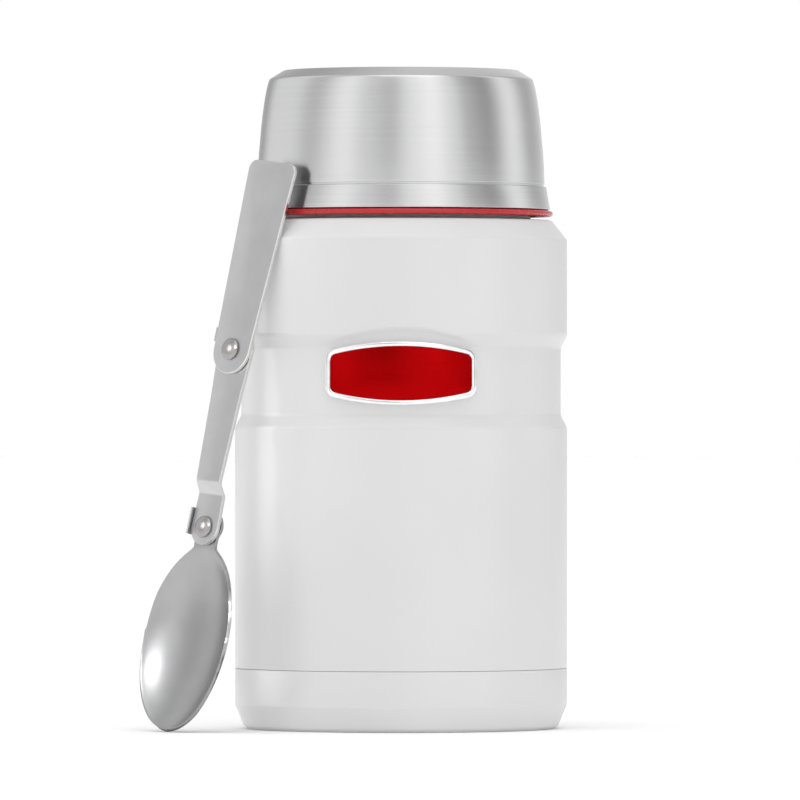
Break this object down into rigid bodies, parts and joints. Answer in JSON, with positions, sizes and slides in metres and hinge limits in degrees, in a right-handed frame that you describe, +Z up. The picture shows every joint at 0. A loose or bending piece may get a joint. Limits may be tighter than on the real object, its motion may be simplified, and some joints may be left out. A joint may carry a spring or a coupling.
{
  "type": "insulated food jar",
  "caption": "Vacuum-insulated wide-mouth food jar with a screw stopper, a cup lid that serves as a bowl and a folding spoon that leans beside it.",
  "frame": {"origin": "centre of the jar's foot, on the surface it stands on", "axes": "+Z up along the jar's axis, badge facing -Y, spoon in front and to the -X side"},
  "size_m": [0.1281, 0.1, 0.198],
  "materials": {
    "painted_steel": "satin light grey-white powder coat",
    "base_plate": "moulded matt grey",
    "bare_steel": "electropolished stainless",
    "foil": "bright foil",
    "bezel_chrome": "bright plated",
    "red_enamel": "glossy red",
    "stopper_plastic": "moulded matt dark grey",
    "foam": "closed-cell foam",
    "silicone": "translucent silicone",
    "brushed_lid": "lathe-brushed stainless",
    "liner_plastic": "moulded satin dark grey",
    "red_trim": "satin red",
    "spoon_steel": "satin stainless",
    "rivet_steel": "polished stainless"
  },
  "bodies": {
    "jar": {"outer_casing": "painted_steel", "base_cap": "painted_steel", "base_disc": "base_plate", "inner_vessel": "bare_steel", "heat_shield": "foil", "getter_capsule": "bare_steel", "vacuum_seal": "bare_steel", "badge_bezel": "bezel_chrome", "badge_panel": "red_enamel"},
    "stopper_core": {"stopper_foam": "foam"},
    "stopper": {"stopper_body": "stopper_plastic", "stopper_cover": "stopper_plastic", "stopper_seal": "silicone"},
    "lid_core": {"lid_insulation": "foam"},
    "lid": {"lid_shell": "brushed_lid", "lid_liner": "liner_plastic", "lid_trim_ring": "red_trim"},
    "spoon": {"spoon_shank": "spoon_steel", "handle_rivet": "rivet_steel", "bowl_rivet": "rivet_steel"},
    "handle": {"spoon_handle": "spoon_steel"},
    "bowl": {"spoon_bowl": "spoon_steel"}
  },
  "joints": [
    {"name": "stopper_lift", "type": "slide", "parent": "jar", "child": "stopper_core", "axis": [0, 0, 1], "range_m": [0, 0.06]},
    {"name": "stopper_turn", "type": "hinge", "parent": "stopper_core", "child": "stopper", "pos_m": [0, 0, 0.1736], "axis": [0, 0, 1], "range_deg": [0, 360]},
    {"name": "lid_lift", "type": "slide", "parent": "stopper", "child": "lid_core", "axis": [0, 0, 1], "range_m": [0, 0.06]},
    {"name": "lid_turn", "type": "hinge", "parent": "lid_core", "child": "lid", "pos_m": [0, 0, 0.156], "axis": [0, 0, 1], "range_deg": [0, 360]},
    {"name": "spoon_lift", "type": "slide", "parent": "jar", "child": "spoon", "axis": [0, 0, 1], "range_m": [0, 0.1]},
    {"name": "handle_fold", "type": "hinge", "parent": "spoon", "child": "handle", "pos_m": [-0.0496, -0.03174, 0.1136], "axis": [0.6793, 0.704, -0.2072], "range_deg": [0, 180]},
    {"name": "bowl_fold", "type": "hinge", "parent": "spoon", "child": "bowl", "pos_m": [-0.05859, -0.03499, 0.061], "axis": [-0.6793, -0.704, 0.2072], "range_deg": [0, 180]}
  ]
}
